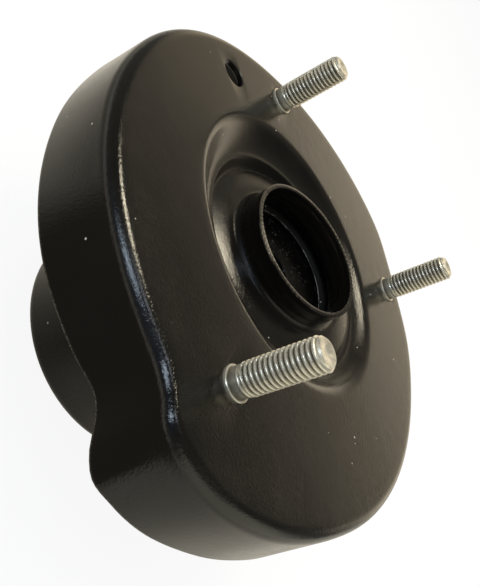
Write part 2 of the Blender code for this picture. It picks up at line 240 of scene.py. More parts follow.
# Each card: its bearing, the agreement with it at which the card is full and at which it ends,
# its change with height, and its colour. Heights here are sines, and later cards lie over earlier ones.
CARDS = (
    (-103.0, 0.93, 0.76, (0.06, 0.62, 1.0, 0.08), (1.13, 0.93, 0.63)),
    (-122.0, 0.95, 0.80, (0.42, 0.27, 0.0, 1.0), (1.28, 1.10, 0.82)),
    (145.0, 0.85, 0.62, (0.58, 0.82, 1.0, 0.05), (1.02, 0.98, 0.78)),
    (45.0, 0.95, 0.75, (0.30, 0.50, 0.0, 1.0), (0.07, 0.115, 0.19)),
    (25.0, 0.80, 0.30, (0.24, 0.17, 0.0, 1.0), (0.80, 0.77, 0.68)),
)
# Each lamp: its name, bearing, height, distance, size and colour, and whether gloss mirrors it.
LAMPS = (
    ("warm", -68.0, 62.0, 1.2, (0.26, 0.30), (1.0, 0.9, 0.68), True),
    ("cool", 40.0, 49.0, 1.2, (0.22, 0.48), (0.72, 0.86, 1.0), True),
    ("top", 20.0, 80.0, 1.3, (0.26, 0.26), (0.88, 0.95, 1.0), True),
    ("key", 30.0, 72.0, 1.3, (1.4, 1.4), WHITE, False),
)
CAMERA_PLACE = (0.0541007, 0.1700176, 0.1557453)
CAMERA_AXES = (
    (-0.5064850806, -0.3098801240, 0.8046410205),
    (0.8189836008, -0.4647806860, 0.3365186109),
    (0.2697011766, 0.8294294561, 0.4891912230),
)
CAMERA_SENSOR = 36.0
CAMERA_NEAR = 0.005


def table_value(table, bearing):
    """Smooth periodic interpolation of a table of (bearing in degrees, value)."""
    count = len(table)
    turn = (bearing - table[0][0]) % 360.0 + table[0][0]
    index = max(i for i in range(count) if table[i][0] <= turn)

    def knot(i):
        wrap, place = divmod(i, count)
        return table[place][0] + 360.0 * wrap, table[place][1]

    (t0, v0), (t1, v1), (t2, v2), (t3, v3) = (knot(index + k) for k in (-1, 0, 1, 2))
    span = t2 - t1
    slope_1 = (v2 - v0) / (t2 - t0)
    slope_2 = (v3 - v1) / (t3 - t1)
    s = (turn - t1) / span
    return (
        v1 * (2 * s**3 - 3 * s**2 + 1) + v2 * (3 * s**2 - 2 * s**3)
        + span * (slope_1 * (s**3 - 2 * s**2 + s) + slope_2 * (s**3 - s**2))
    )


def toward(bearing, height):
    """The direction at a bearing and height in degrees."""
    turn, rise = math.radians(bearing), math.radians(height)
    return Vector((math.cos(turn) * math.cos(rise), math.sin(turn) * math.cos(rise), math.sin(rise)))


BEARINGS = [360 * i / SHELL_SECTIONS for i in range(SHELL_SECTIONS)]


def clamped(value):
    """A value held between nought and one."""
    return min(1.0, max(0.0, value))


def smooth(share):
    """A rise from nought to one that starts and ends level."""
    return share * share * (3 - 2 * share)


def outline(bearing):
    """Radius of the body at its shoulder."""
    return BODY_RADIUS + table_value(OUTLINE, bearing)


def tilted_frame():
    """The frame of the collar: its axis leans towards the tilt bearing."""
    lean = Matrix.Rotation(math.radians(TILT), 4, "Y")
    turn = Matrix.Rotation(math.radians(TILT_BEARING), 4, "Z")
    place = Matrix.Translation((*TILT_CENTRE, 0.0))
    return place @ turn @ lean @ turn.inverted()


TILTED = tilted_frame()


def flat_ring(radius, height, centre=(0.0, 0.0)):
    """One section ring round the mounting face; radius and height are numbers or functions of bearing."""
    ring = []
    for bearing in BEARINGS:
        reach, rise = (value(bearing) if callable(value) else value for value in (radius, height))
        angle = math.radians(bearing)
        ring.append(Vector((centre[0] + reach * math.cos(angle), centre[1] + reach * math.sin(angle), rise)))
    return ring


def tilted_ring(radius, height):
    """One section ring square to the collar's axis."""
    return [TILTED @ point for point in flat_ring(radius, height)]


def blend(ring_a, ring_b, share):
    """The ring between two rings."""
    return [a.lerp(b, share) for a, b in zip(ring_a, ring_b)]


def steps(count, first=0):
    """Shares from nought to one in equal steps."""
    return [i / count for i in range(first, count + 1)]


def shallow_share(bearing):
    """How far round the recess a bearing lies from its deepest side, from nought to one."""
    return (1 - math.cos(math.radians(bearing - TILT_BEARING))) / 2


def ledge_height(bearing):
    """Height of the ledge in the recess, which rises a little with the floor beside it."""
    return LEDGE_LIFT * shallow_share(bearing) - RECESS_DEPTH


def recess_section(bearing):
    """Points down the recess's rounded edge, then the foot where its wall would meet the ledge."""
    ease = shallow_share(bearing)
    bend = RECESS_EDGE_RADIUS + (RECESS_EASY_RADIUS - RECESS_EDGE_RADIUS) * ease
    reach = LEDGE_RADIUS + LEDGE_BEND + (LEDGE_EASY_BEND - LEDGE_BEND) * ease
    edge = Vector((*RECESS_CENTRE, 0.0)) + toward(bearing, 0.0) * RECESS_RADIUS
    foot = Vector((*TILT_CENTRE, ledge_height(bearing))) + toward(bearing, 0.0) * reach
    inward = (foot - edge) * Vector((1.0, 1.0, 0.0))
    width, depth = inward.length, -foot.z
    bend = min(bend, RECESS_BEND_LIMIT * (width * width + depth * depth) / (2 * depth))
    angle = math.asin(bend / math.hypot(width, bend - depth)) - math.atan2(bend - depth, width)
    points = []
    for share in steps(RECESS_EDGE_RINGS):
        drop = Vector((0.0, 0.0, bend * (math.cos(angle * share) - 1)))
        points.append(edge + inward.normalized() * bend * math.sin(angle * share) + drop)
    return points + [foot]


def rounded_rise(share, bend):
    """An even rise from nought to one, rounded over a share at both its ends."""
    share = clamped(share)
    if share < bend:
        rise = share * share / (2 * bend)
    elif share > 1 - bend:
        rise = 1 - bend - (1 - share) ** 2 / (2 * bend)
    else:
        rise = share - bend / 2
    return rise / (1 - bend)


def skirt_rings():
    """Rings up the skirt from its free edge, then over the shoulder."""
    free_edge = flat_ring(lambda b: outline(b) + table_value(FLARE, b), -SKIRT_DEPTH)
    shoulder_foot = flat_ring(outline, -SHOULDER_RADIUS)
    shares = (0.0, EDGE_LINE / SKIRT_DEPTH, *steps(SKIRT_RINGS, 1))
    rings = [blend(free_edge, shoulder_foot, share) for share in shares]
    for share in steps(SHOULDER_RINGS, 1):
        angle = math.radians(90) * share
        inset = SHOULDER_RADIUS * (1 - math.cos(angle))
        rings.append(flat_ring(lambda b: outline(b) - inset, SHOULDER_RADIUS * (math.sin(angle) - 1)))
    return rings


def recess_rings():
    """Rings down the recess's edge and wall, round its foot and over the ledge."""
    *rings, foot = zip(*(recess_section(bearing) for bearing in BEARINGS))
    wall = rings[-1]
    ledge = flat_ring(LEDGE_RADIUS, ledge_height, TILT_CENTRE)
    for share in steps(LEDGE_RINGS, 1):
        rings.append(blend(blend(wall, foot, share), blend(foot, ledge, share), share))
    return rings


def floor_rings():
    """Rings down the step from the level ledge to the tilted floor, then over the crowned floor."""
    rings = []
    edge_height = -FLOOR_DROP - FLOOR_CROWN
    for share in steps(STEP_RINGS, 1):
        radius = LEDGE_RADIUS + (FLOOR_RADIUS - LEDGE_RADIUS) * share
        level = flat_ring(radius, ledge_height, TILT_CENTRE)
        turn = rounded_rise((share - STEP_START) / STEP_SPAN, STEP_ROUNDING)
        rings.append(blend(level, tilted_ring(radius, edge_height), turn))
    for share in steps(FLOOR_RINGS, 1):
        radius = FLOOR_RADIUS + (FLOOR_FLAT_RADIUS - FLOOR_RADIUS) * share
        crown = (1 - share) ** FLOOR_CROWN_POWER * FLOOR_CROWN
        rings.append(tilted_ring(radius, -FLOOR_DROP - crown))
    return rings


def collar_rings():
    """Rings round the collar's root fillet, then up its wall past the step to the rim."""
    rings = []
    for share in steps(COLLAR_RINGS):
        angle = math.radians(90) * share
        radius = COLLAR_RADIUS + COLLAR_FILLET * (1 - math.sin(angle))
        rings.append(tilted_ring(radius, -FLOOR_DROP + COLLAR_FILLET * (1 - math.cos(angle))))
    step = -FLOOR_DROP + COLLAR_STEP_HEIGHT
    top = -FLOOR_DROP + COLLAR_HEIGHT
    bead = top - RIM_HEIGHT
    waist = COLLAR_RADIUS - COLLAR_STEP
    for share in steps(COLLAR_RINGS):
        radius = COLLAR_RADIUS - COLLAR_STEP * smooth(share)
        rings.append(tilted_ring(radius, step + COLLAR_STEP_LENGTH * share))
    for share in steps(RIM_RINGS):
        ease = min(1.0, share * 2) ** 2
        rings.append(tilted_ring(waist + RIM_BEAD * ease, bead + RIM_HEIGHT * share))
    return rings


def shell_sections():
    """Rings of the pressed sheet's outer side, from the skirt's free edge to the collar's rim."""
    rings = skirt_rings()
    plate = rings[-1]
    recess = flat_ring(RECESS_RADIUS, 0.0, RECESS_CENTRE)
    rings += [blend(plate, recess, share) for share in PLATE_SHARES]
    return rings + recess_rings() + floor_rings() + collar_rings()


def skin(rings):
    """Points and faces of a loft through successive rings."""
    count = len(rings[0])
    faces = []
    for i in range(len(rings) - 1):
        lower, upper = i * count, (i + 1) * count
        for j in range(count):
            k = (j + 1) % count
            faces.append((lower + j, lower + k, upper + k, upper + j))
    return [point for ring in rings for point in ring], faces


def add_object(name, points, edges, faces):
    """Makes a mesh object from points, edges and faces."""
    mesh = bpy.data.meshes.new(name)
    mesh.from_pydata([tuple(point) for point in points], edges, faces)
    made = bpy.data.objects.new(name, mesh)
    bpy.context.scene.collection.objects.link(made)
    return made


def turned(name, profile, step_count, place=Matrix.Identity(4)):
    """A turned piece: its profile of (radius, height) runs down its outer side first."""
    points = [(radius, 0.0, height) for radius, height in profile]
    edges = [(i, i + 1) for i in range(len(points) - 1)]
    if profile[0][0] > 0:
        edges.append((len(points) - 1, 0))
    made = add_object(name, points, edges, [])
    made.matrix_basis = place
    screw = made.modifiers.new("turn", "SCREW")
    screw.steps = step_count
    screw.render_steps = step_count
    screw.use_merge_vertices = True
    screw.merge_threshold = MERGE
    return made


def cut(target, cutter):
    """Takes the cutter's volume out of the target."""
    modifier = target.modifiers.new("cut_" + cutter.name, "BOOLEAN")
    modifier.operation = "DIFFERENCE"
    modifier.solver = "EXACT"
    modifier.object = cutter


def settle(piece, *cutters):
    """Bakes the piece's modifiers and place into its mesh, in the packed frame, and drops its cutters."""
    bpy.context.view_layer.update()
    graph = bpy.context.evaluated_depsgraph_get()
    baked = bpy.data.meshes.new_from_object(piece.evaluated_get(graph))
    baked.transform(Matrix.Translation(DATUM) @ piece.matrix_world)
    piece.modifiers.clear()
    piece.data = baked
    piece.matrix_basis = Matrix.Identity(4)
    baked.shade_smooth()
    baked.set_sharp_from_angle(angle=SHARP)
    for cutter in cutters:
        bpy.data.objects.remove(cutter, do_unlink=True)
    return piece


def place_piece(piece, node, material):
    """Gives the piece its material and lets it stand for its node."""
    piece.data.materials.clear()
    piece.data.materials.append(material)
    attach(piece, BODY)
    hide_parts(node)


def arc(centre_radius, centre_height, radius, start, end, count):
    """Points of an arc in the profile plane, angles in degrees from the outward direction."""
    points = []
    for share in steps(count):
        angle = math.radians(start + (end - start) * share)
        points.append((centre_radius + radius * math.cos(angle), centre_height + radius * math.sin(angle)))
    return points


def polar(radius, bearing):
    """A place on the mounting face."""
    angle = math.radians(bearing)
    return Matrix.Translation((radius * math.cos(angle), radius * math.sin(angle), 0.0))


def punch(name, radius, place):
    """Cutter for a punched hole in the sheet, whose two edges it leaves rounded."""
    reach = 2 * SHEET
    mouth = radius + HOLE_ROUND
    profile = [(0, reach), (mouth, reach)]
    profile += arc(mouth, -HOLE_ROUND, HOLE_ROUND, 90, 180, 5)
    profile += arc(mouth, HOLE_ROUND - SHEET, HOLE_ROUND, 180, 270, 5)
    profile += [(mouth, -reach), (0, -reach)]
    return turned(name, profile, TURNED_STEPS, place)


def collar_share(local):
    """How far up the collar a point in the collar's frame lies, from nought to one."""
    if math.hypot(local.x, local.y) >= FLOOR_FLAT_RADIUS:
        return 0.0
    return clamped((local.z + FLOOR_DROP) / COLLAR_HEIGHT)


def corner_dirt(local):
    """How much painted shade a point in the collar's frame gets: on the step and at the collar's root."""
    reach = math.hypot(local.x, local.y)
    step = math.sin(math.pi * clamped((LEDGE_RADIUS - reach) / (LEDGE_RADIUS - FLOOR_RADIUS)))
    root = 0.0
    if collar_share(local) < ROOT_TOP:
        root = 1.0 - abs(reach - COLLAR_RADIUS - COLLAR_FILLET / 3) / (COLLAR_FILLET / 2)
    return max(0.0, step ** STEP_SHADE_POWER, ROOT_SHADE * root)


def rub_and_highlight_at(point, local):
    """How far the coat is rubbed along the free edge, and how strong a painted highlight is on a stretch of
    the rim, at a point.
    """
    if point.z < EDGE_LINE / 2 - SKIRT_DEPTH:
        return EDGE_LINE_RUB
    if collar_share(local) <= 1.0 - RIM_HIGHLIGHT_HEIGHT / COLLAR_HEIGHT:
        return 0.0
    return max(0.0, 1.0 - ((point - RIM_HIGHLIGHT_PLACE).length / RIM_HIGHLIGHT_REACH) ** 2)


def mark_points(mesh, name, values):
    """Paints a value on each of a mesh's points."""
    mesh.attributes.new(name, "FLOAT", "POINT").data.foreach_set("value", values)


def make_shell():
    """The pressed body: skirt, shoulder, mounting face, recess, tilted floor and collar."""
    points, faces = skin(shell_sections())
    shell = add_object("shell_coated", points, [], faces)
    to_collar = TILTED.inverted()
    places = [to_collar @ point for point in points]
    thin = shell.vertex_groups.new(name="drawn_thin")
    for index, local in enumerate(places):
        thin.add([index], 1.0 - (1.0 - RIM_SHEET / SHEET) * collar_share(local), "REPLACE")
    # Painted shade on the step and round the collar's root.
    mark_points(shell.data, "corner_dirt", [corner_dirt(local) for local in places])
    # Rub along the free edge, and a painted highlight on a stretch of the rim.
    mark_points(shell.data, "rubbed_rim", [rub_and_highlight_at(*pair) for pair in zip(points, places)])
    sheet = shell.modifiers.new("sheet", "SOLIDIFY")
    sheet.thickness = SHEET
    sheet.offset = -1.0
    sheet.use_even_offset = True
    sheet.vertex_group = thin.name
    edges = shell.modifiers.new("free_edges", "BEVEL")
    edges.width = RIM_ROUND
    edges.segments = RIM_ROUND_SEGMENTS
    edges.harden_normals = True
    edges.limit_method = "ANGLE"
    edges.angle_limit = FREE_EDGE_ANGLE
    punches = [
        punch(f"punch_{index}", STUD_BAND_RADIUS + STUD_SNUG, polar(STUD_CIRCLE_RADIUS, bearing))
        for index, bearing in enumerate(STUD_BEARINGS, 1)
    ]
    punches.append(punch("punch_drain", DRAIN_RADIUS, polar(DRAIN_CIRCLE_RADIUS, DRAIN_BEARING)))
    for cutter in punches:
        cut(shell, cutter)
    return settle(shell, *punches)


def cup_wall(depth):
    """Outer radius of the cup's wall at a depth under the mounting face."""
    corner = CUP_DEPTH - CUP_CORNER_RADIUS
    if depth < CUP_THROAT_DEPTH:
        mouth = SHEET + GAP + CUP_SHEET + CUP_MOUTH_BEND
        share = (depth - mouth) / (CUP_THROAT_DEPTH - mouth)
        return CUP_MOUTH_RADIUS + (CUP_THROAT_RADIUS - CUP_MOUTH_RADIUS) * share
    share = (depth - CUP_THROAT_DEPTH) / (corner - CUP_THROAT_DEPTH)
    return CUP_THROAT_RADIUS + (CUP_BASE_RADIUS - CUP_THROAT_RADIUS) * share


def make_cup():
    """The lower cup: flange, bend, conical mouth, tapered wall, round corner and holed base."""
    flange_top = -SHEET - GAP
    flange_under = flange_top - CUP_SHEET
    corner_height = CUP_CORNER_RADIUS - CUP_DEPTH
    corner_radius = CUP_BASE_RADIUS - CUP_CORNER_RADIUS
    inner_corner = CUP_CORNER_RADIUS - CUP_SHEET
    bend_radius = CUP_MOUTH_RADIUS + CUP_MOUTH_BEND
    bend_height = flange_under - CUP_MOUTH_BEND
    hole_mouth = CUP_HOLE_RADIUS + HOLE_ROUND
    outer = [(CUP_FLANGE_RADIUS, flange_top), (CUP_FLANGE_RADIUS, flange_under)]
    outer += arc(bend_radius, bend_height, CUP_MOUTH_BEND, 90, 180, 8)
    outer += [(CUP_THROAT_RADIUS, -CUP_THROAT_DEPTH)]
    outer += arc(corner_radius, corner_height, CUP_CORNER_RADIUS, 0, -90, 12)
    outer += arc(hole_mouth, HOLE_ROUND - CUP_DEPTH, HOLE_ROUND, 270, 180, 4)
    inner = arc(hole_mouth, CUP_SHEET - HOLE_ROUND - CUP_DEPTH, HOLE_ROUND, 180, 90, 4)
    inner += arc(corner_radius, corner_height, inner_corner, -90, 0, 8)
    inner += [(CUP_THROAT_RADIUS - CUP_SHEET, -CUP_THROAT_DEPTH)]
    inner += arc(bend_radius, bend_height, CUP_MOUTH_BEND + CUP_SHEET, 180, 90, 8)
    return settle(turned("cup_coated", outer + inner, TURNED_STEPS))


def make_isolator():
    """The rubber isolator: fills the cup round the rod seat and bears up under the body's floor."""
    inside = CUP_SHEET + GAP
    seat_under = SEAT_DROP + SEAT_THICKNESS
    foot = ISOLATOR_BASE - ISOLATOR_DISH
    crown_radius = FLOOR_RADIUS - SHEET - GAP - math.hypot(*TILT_CENTRE)
    profile = [
        (0, 0.0),
        (crown_radius, 0.0),
        (crown_radius, -ISOLATOR_SHOULDER),
        (cup_wall(ISOLATOR_SHOULDER + ISOLATOR_LIP) - inside, -ISOLATOR_SHOULDER - ISOLATOR_LIP),
        (CUP_THROAT_RADIUS - inside, -CUP_THROAT_DEPTH),
    ]
    low_radius = cup_wall(ISOLATOR_BASE) - inside - ISOLATOR_LIP
    profile += arc(low_radius, ISOLATOR_LIP - ISOLATOR_BASE, ISOLATOR_LIP, 0, -90, 6)
    profile += [(crown_radius, -ISOLATOR_BASE)]
    dish_radius = HUB_RADIUS + ISOLATOR_DISH
    for share in steps(10, 1):
        radius = crown_radius + (dish_radius - crown_radius) * share
        profile.append((radius, ISOLATOR_DISH * smooth(share) - ISOLATOR_BASE))
    profile += [(0, -foot)]
    rubber = turned("isolator_moulded", profile, TURNED_STEPS)
    crown = -FLOOR_DROP - FLOOR_CROWN - SHEET - GAP
    reach = BODY_RADIUS
    seat_top = [(0, reach), (reach, reach), (reach, crown)]
    seat_top += arc(SEAT_RADIUS + GAP + ISOLATOR_LIP, crown - ISOLATOR_LIP, ISOLATOR_LIP, 90, 180, 8)
    seat_top += [
        (SEAT_RADIUS + GAP, -seat_under - GAP),
        (HUB_RADIUS + GAP, -seat_under - GAP),
        (HUB_RADIUS + GAP, -CUP_DEPTH),
        (0, -CUP_DEPTH),
    ]
    relief = turned("isolator_relief", seat_top, TURNED_STEPS, TILTED)
    cut(rubber, relief)
    return settle(rubber, relief)


def make_seat():
    """The rod seat: a flanged tube on the tilted axis, open for the damper rod."""
    seat_under = SEAT_DROP + SEAT_THICKNESS
    foot = seat_under + HUB_LENGTH
    rod_mouth = ROD_HOLE_RADIUS + SEAT_CHAMFER
    lip_round = SEAT_LIP_WIDTH / 2
    profile = [(SEAT_RADIUS - SEAT_LIP_WIDTH, -SEAT_DROP)]
    profile += arc(SEAT_RADIUS - lip_round, SEAT_LIP_HEIGHT - lip_round - SEAT_DROP, lip_round, 180, 0, 10)
    profile += [
        (SEAT_RADIUS, -seat_under),
        (HUB_RADIUS, -seat_under),
        (HUB_RADIUS, -foot + SEAT_CHAMFER),
        (HUB_RADIUS - SEAT_CHAMFER, -foot),
        (ROD_HOLE_RADIUS, -foot),
    ]
    profile += arc(rod_mouth, -SEAT_DROP - SEAT_CHAMFER, SEAT_CHAMFER, 180, 90, 4)
    return settle(turned("seat_turned", profile, TURNED_STEPS, TILTED))


def thread_depth(phase):
    """How deep a rolled thread is cut at a share of its pitch, from 0 at the crest to 1 at the root."""
    flank = clamped((1 - abs(2 * phase - 1)) * THREAD_STEEPNESS - THREAD_CREST)
    return smooth(flank) * THREAD_ROUNDING + flank * (1 - THREAD_ROUNDING)


def round_ring(radius, height):
    """A ring of points round a stud's own axis."""
    return [
        Vector((radius * math.cos(turn), radius * math.sin(turn), height))
        for turn in (math.tau * j / THREAD_COLUMNS for j in range(THREAD_COLUMNS))
    ]


def thread_rings(pitch, depth):
    """Rings that climb with the thread's helix, from the neck to the chamfered tip."""
    start = STUD_BAND_HEIGHT + STUD_NECK_LENGTH
    rows = math.ceil((STUD_LENGTH - start) / pitch + 1) * THREAD_ROWS
    rings = []
    for row in range(rows + 1):
        ring = []
        for column in range(THREAD_COLUMNS):
            turn = column / THREAD_COLUMNS
            angle = math.tau * turn
            climb = start + pitch * (row / THREAD_ROWS + turn - 1)
            height = min(max(climb, start), STUD_LENGTH)
            radius = STUD_RADIUS - depth * thread_depth(row % THREAD_ROWS / THREAD_ROWS)
            run_out = min(1.0, (height - start) / (THREAD_RUN_OUT * pitch))
            radius = STUD_NECK_RADIUS + (radius - STUD_NECK_RADIUS) * run_out
            radius = min(radius, STUD_RADIUS - STUD_CHAMFER + STUD_LENGTH - height)
            ring.append(Vector((radius * math.cos(angle), radius * math.sin(angle), height)))
        rings.append(ring)
    return rings


def make_stud(index, bearing, pitch, depth):
    """One stud: head under the sheet, plain band in its hole, neck, rolled thread and chamfered tip."""
    head_top = -SHEET - GAP
    head_low = head_top - STUD_HEAD_HEIGHT
    band_edge = (STUD_BAND_RADIUS - STUD_NECK_RADIUS) / 5
    rings = [
        round_ring(0, head_low),
        round_ring(STUD_HEAD_RADIUS - band_edge, head_low),
        round_ring(STUD_HEAD_RADIUS, head_low + band_edge),
        round_ring(STUD_HEAD_RADIUS, head_top),
        round_ring(STUD_BAND_RADIUS, head_top),
        round_ring(STUD_BAND_RADIUS, STUD_BAND_HEIGHT - band_edge),
        round_ring(STUD_BAND_RADIUS - band_edge, STUD_BAND_HEIGHT),
        round_ring(STUD_NECK_RADIUS, STUD_BAND_HEIGHT),
    ]
    rings += thread_rings(pitch, depth)
    tip_radius = STUD_RADIUS - STUD_CHAMFER
    dimple = STUD_LENGTH - STUD_CHAMFER / 3
    rings += [
        round_ring(tip_radius * STUD_TIP_RING, STUD_LENGTH),
        round_ring(tip_radius * STUD_DIMPLE, dimple),
        round_ring(0, dimple),
    ]
    points, faces = skin(rings)
    stud = add_object(f"stud_{index}_threaded", points, [], faces)
    form = bmesh.new()
    form.from_mesh(stud.data)
    # Marks painted shade: how deep a point lies in the thread's roots, and the whole neck.
    root = form.verts.layers.float.new("thread_root")
    for vert in form.verts:
        reach = math.hypot(vert.co.x, vert.co.y)
        cut_in = clamped((STUD_RADIUS - reach) / depth)
        if vert.co.z < STUD_BAND_HEIGHT + STUD_NECK_LENGTH:
            cut_in = float(vert.co.z >= STUD_BAND_HEIGHT and reach < STUD_NECK_RADIUS + band_edge / 2)
        vert[root] = cut_in if vert.co.z < STUD_LENGTH - STUD_CHAMFER else 0.0
    bmesh.ops.remove_doubles(form, verts=form.verts, dist=MERGE)
    bmesh.ops.recalc_face_normals(form, faces=form.faces)
    form.to_mesh(stud.data)
    form.free()
    stud.matrix_basis = polar(STUD_CIRCLE_RADIUS, bearing)
    return settle(stud)


def add(tree, kind, **settings):
    """Adds a node and sets it up."""
    made = tree.nodes.new(kind)
    for name, value in settings.items():
        setattr(made, name, value)
    return made


def feed(tree, target, source):
    """Gives a socket a constant or joins another socket to it."""
    if isinstance(source, bpy.types.NodeSocket):
        tree.links.new(source, target)
    else:
        target.default_value = source


def math_node(tree, operation, *sources):
    """A Math node's result."""
    made = add(tree, "ShaderNodeMath", operation=operation)
    for target, source in zip(made.inputs, sources):
        feed(tree, target, source)
    return made.outputs["Value"]


def product(tree, first, *others):
    """The product of values."""
    for other in others:
        first = math_node(tree, "MULTIPLY", first, other)
    return first


def total(tree, first, *others):
    """The sum of values."""
    for other in others:
        first = math_node(tree, "ADD", first, other)
    return first


def vector_node(tree, operation, *sources):
    """A Vector Math node's outputs."""
    made = add(tree, "ShaderNodeVectorMath", operation=operation)
    for target, source in zip(made.inputs, sources):
        feed(tree, target, source)
    return made.outputs


def levelled(tree, vector):
    """A vector without its height."""
    return vector_node(tree, "MULTIPLY", vector, (1.0, 1.0, 0.0))["Vector"]


def part_of(tree, vector, axis):
    """One of a vector's three parts."""
    made = add(tree, "ShaderNodeSeparateXYZ")
    feed(tree, made.inputs["Vector"], vector)
    return made.outputs[axis]


def normal_of(tree):
    """The direction that the surface faces."""
    return add(tree, "ShaderNodeNewGeometry").outputs["Normal"]


def painted(tree, name):
    """A value painted on the mesh's points."""
    return add(tree, "ShaderNodeAttribute", attribute_name=name).outputs["Fac"]


def remap(tree, value, low, high, to_low=0.0, to_high=1.0):
    """A value moved smoothly from one range to another."""
    made = add(tree, "ShaderNodeMapRange", interpolation_type="SMOOTHSTEP")
    names = ("Value", "From Min", "From Max", "To Min", "To Max")
    for name, source in zip(names, (value, low, high, to_low, to_high)):
        feed(tree, made.inputs[name], source)
    return made.outputs["Result"]


def tint(tree, share, base, top):
    """One colour laid over another by a mask."""
    made = add(tree, "ShaderNodeMix", data_type="RGBA")
    sockets = {socket.identifier: socket for socket in made.inputs}
    feed(tree, sockets["Factor_Float"], share)
    for name, source in (("A_Color", base), ("B_Color", top)):
        feed(tree, sockets[name], source if isinstance(source, bpy.types.NodeSocket) else (*source, 1.0))
    return next(socket for socket in made.outputs if socket.identifier == "Result_Color")


def noise(tree, place, scale, detail=2.0, roughness=0.5):
    """A noise value at a place."""
    made = add(tree, "ShaderNodeTexNoise")
    for name, source in (("Vector", place), ("Scale", scale), ("Detail", detail), ("Roughness", roughness)):
        feed(tree, made.inputs[name], source)
    return made.outputs["Fac"]


def new_group(name, inputs, outputs):
    """An empty node group with named inputs and outputs."""
    group = bpy.data.node_groups.new(name, "ShaderNodeTree")
    for label, kind, value in inputs:
        socket = group.interface.new_socket(label, in_out="INPUT", socket_type=kind)
        if value is not None:
            socket.default_value = value
    for label in outputs:
        group.interface.new_socket(label, in_out="OUTPUT", socket_type="NodeSocketFloat")
    return group, add(group, "NodeGroupInput").outputs, add(group, "NodeGroupOutput").inputs


def place_in_metres(tree):
    """The surface's place on the mount, in metres."""
    return add(tree, "ShaderNodeTexCoord").outputs["Object"]


def flecks_group():
    """Small light flecks of dust and grit, in loose swarms."""
    inputs = (("Density", "NodeSocketFloat", 0.5), ("Scale", "NodeSocketFloat", 700.0))
    group, given, result = new_group("flecks", inputs, ("Mask",))
    place = place_in_metres(group)
    cells = add(group, "ShaderNodeTexVoronoi", feature="F1")
    feed(group, cells.inputs["Vector"], place)
    feed(group, cells.inputs["Scale"], given["Scale"])
    chance = add(group, "ShaderNodeSeparateColor")
    feed(group, chance.inputs["Color"], cells.outputs["Color"])
    size = product(group, chance.outputs["Green"], 0.34)
    dot = remap(group, cells.outputs["Distance"], size, total(group, size, 0.08), 1.0, 0.0)
    swarm = remap(group, noise(group, place, 55.0, 3.0), 0.42, 0.70)
    limit = product(group, given["Density"], swarm, 0.5)
    picked = math_node(group, "LESS_THAN", chance.outputs["Red"], limit)
    feed(group, result["Mask"], product(group, dot, picked))
    return group


def film_group():
    """Dust film, streaked and cloudy, thicker where the surface faces up."""
    inputs = (("Scale", "NodeSocketFloat", 40.0), ("Sides", "NodeSocketFloat", 0.2))
    group, given, result = new_group("dust_film", inputs, ("Mask", "Cloud"))
    place = place_in_metres(group)
    cloud = remap(group, noise(group, place, given["Scale"], 6.0, 0.62), 0.33, 0.70)
    upward = remap(group, part_of(group, normal_of(group), "Z"), 0.25, 0.95, given["Sides"], 1.0)
    feed(group, result["Mask"], product(group, cloud, upward))
    feed(group, result["Cloud"], cloud)
    return group


def wear_group():
    """Broken wear along outer edges, and dirt in inner corners."""
    inputs = (("Edge", "NodeSocketFloat", 0.56), ("Break", "NodeSocketFloat", 260.0))
    group, given, result = new_group("edge_wear", inputs, ("Wear", "Dirt"))
    place = place_in_metres(group)
    bend = add(group, "ShaderNodeNewGeometry").outputs["Pointiness"]
    ragged = noise(group, place, given["Break"], 4.0, 0.7)
    outer = remap(group, bend, given["Edge"], total(group, given["Edge"], 0.05))
    feed(group, result["Wear"], product(group, outer, remap(group, ragged, 0.52, 0.60)))
    feed(group, result["Dirt"], remap(group, bend, 0.49, 0.42))
    return group


def skin_group():
    """Height of a sprayed or dipped coat: fine grain over broad waves."""
    inputs = (("Grain", "NodeSocketFloat", 1500.0), ("Waves", "NodeSocketFloat", 180.0))
    group, given, result = new_group("coat_skin", inputs, ("Height",))
    place = place_in_metres(group)
    broad = product(group, noise(group, place, given["Waves"], 2.0), 0.5)
    feed(group, result["Height"], total(group, broad, noise(group, place, given["Grain"], 3.0)))
    return group


SHARED_GROUPS = {
    "flecks": flecks_group,
    "dust_film": film_group,
    "edge_wear": wear_group,
    "coat_skin": skin_group,
}


def shared(name):
    """A node group that several finishes use, made at its first use."""
    return bpy.data.node_groups.get(name) or SHARED_GROUPS[name]()


def use(tree, name, **values):
    """Places a shared group in a material with values of its own."""
    made = add(tree, "ShaderNodeGroup", node_tree=shared(name))
    for label, value in values.items():
        feed(tree, made.inputs[label], value)
    return made.outputs


def new_finish(name):
    """A new material: its tree and its Principled BSDF's inputs."""
    made = bpy.data.materials.new(name)
    made.use_nodes = True
    return made, made.node_tree, made.node_tree.nodes["Principled BSDF"].inputs


def bump(tree, shader, height, distance):
    """Gives a shader relief from a height."""
    made = add(tree, "ShaderNodeBump")
    feed(tree, made.inputs["Strength"], 1.0)
    feed(tree, made.inputs["Distance"], distance)
    feed(tree, made.inputs["Height"], height)
    feed(tree, shader["Normal"], made.outputs["Normal"])


def skirt_inside_shade(tree):
    """Mask of painted shade on the skirt's inside, which is far out, below the mounting face and faces the
    axis.
    """
    place = place_in_metres(tree)
    outward = levelled(tree, place)
    facing = vector_node(tree, "DOT_PRODUCT", outward, normal_of(tree))["Value"]
    reach = vector_node(tree, "LENGTH", outward)["Value"]
    low = remap(tree, part_of(tree, place, "Z"), SHELTER_TOP, SHELTER_TOP - SHELTER_FADE)
    far = remap(tree, reach, SHELTER_RADIUS, SHELTER_RADIUS + SHELTER_FADE)
    return product(tree, low, far, remap(tree, facing, 0.0, -SHELTER_FACING))


